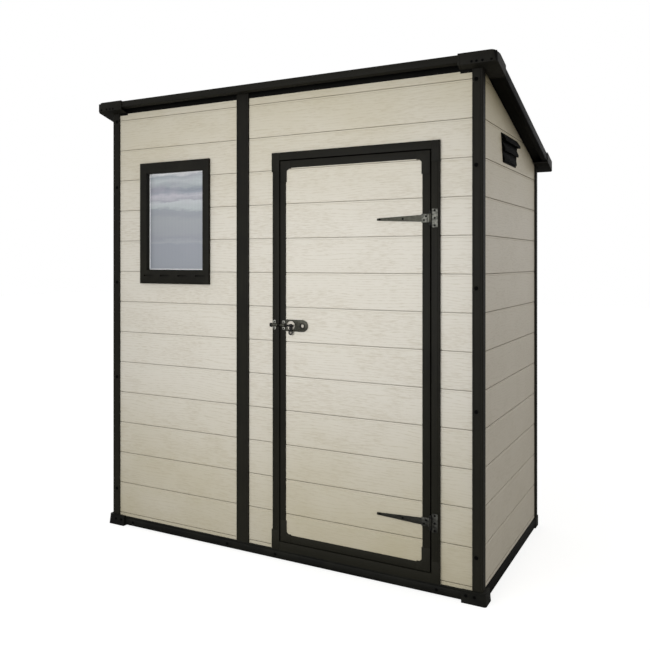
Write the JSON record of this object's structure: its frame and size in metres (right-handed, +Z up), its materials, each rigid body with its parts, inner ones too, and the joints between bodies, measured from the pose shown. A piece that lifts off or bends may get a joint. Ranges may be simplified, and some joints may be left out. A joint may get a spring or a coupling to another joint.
{
  "type": "resin garden shed",
  "caption": "Small garden shed of beige plank-patterned resin panels with dark trims, a single-slope roof, a hinged door with a pad bolt, and a fixed window.",
  "frame": {"origin": "ground level, under the middle of the roof's outline", "axes": "+X to the right along the front as seen from outside, +Y from the front to the rear, +Z up"},
  "size_m": [1.872, 1.098, 2.0108],
  "materials": {
    "beige_resin": "wood-grain embossed, matt",
    "dark_resin": "fine grain, matt",
    "black_metal": "black coated steel, satin",
    "clear_pane": "smooth"
  },
  "bodies": {
    "shed": {"floor_panel": "dark_resin", "front_base_rail": "dark_resin", "rear_base_rail": "dark_resin", "left_base_rail": "dark_resin", "right_base_rail": "dark_resin", "corner_feet": "dark_resin", "front_wall_window_side": "beige_resin", "front_wall_latch_side": "beige_resin", "front_wall_hinge_side": "beige_resin", "front_wall_over_door": "beige_resin", "left_wall": "beige_resin", "right_wall": "beige_resin", "rear_wall_left": "beige_resin", "rear_wall_right": "beige_resin", "front_left_post": "dark_resin", "front_right_post": "dark_resin", "rear_left_post": "dark_resin", "rear_right_post": "dark_resin", "front_mid_post": "dark_resin", "rear_mid_post": "dark_resin", "door_jamb_latch_side": "dark_resin", "door_jamb_hinge_side": "dark_resin", "door_head": "dark_resin", "door_sill": "dark_resin", "window_frame": "dark_resin", "window_pane": "clear_pane", "left_vent": "dark_resin", "right_vent": "dark_resin", "roof_panel": "dark_resin", "front_fascia": "dark_resin", "rear_fascia": "dark_resin", "left_rake": "dark_resin", "right_rake": "dark_resin", "roof_corner_caps": "dark_resin", "end_top_trims": "dark_resin", "side_top_trims": "dark_resin", "jamb_hinge_plates": "black_metal", "latch_keep": "black_metal"},
    "door": {"door_panel": "beige_resin", "door_stiles": "dark_resin", "door_top_rail": "dark_resin", "door_bottom_rail": "dark_resin", "strap_hinges": "black_metal", "latch_plate": "black_metal"},
    "bolt": {"latch_bolt": "black_metal"}
  },
  "joints": [
    {"name": "door_hinge", "type": "hinge", "parent": "shed", "child": "door", "pos_m": [0.681, -0.5173, 0.8775], "axis": [0, 0, 1], "range_deg": [0, 170]},
    {"name": "bolt_slide", "type": "slide", "parent": "door", "child": "bolt", "axis": [-1, 0, 0], "range_m": [0, 0.02]}
  ]
}
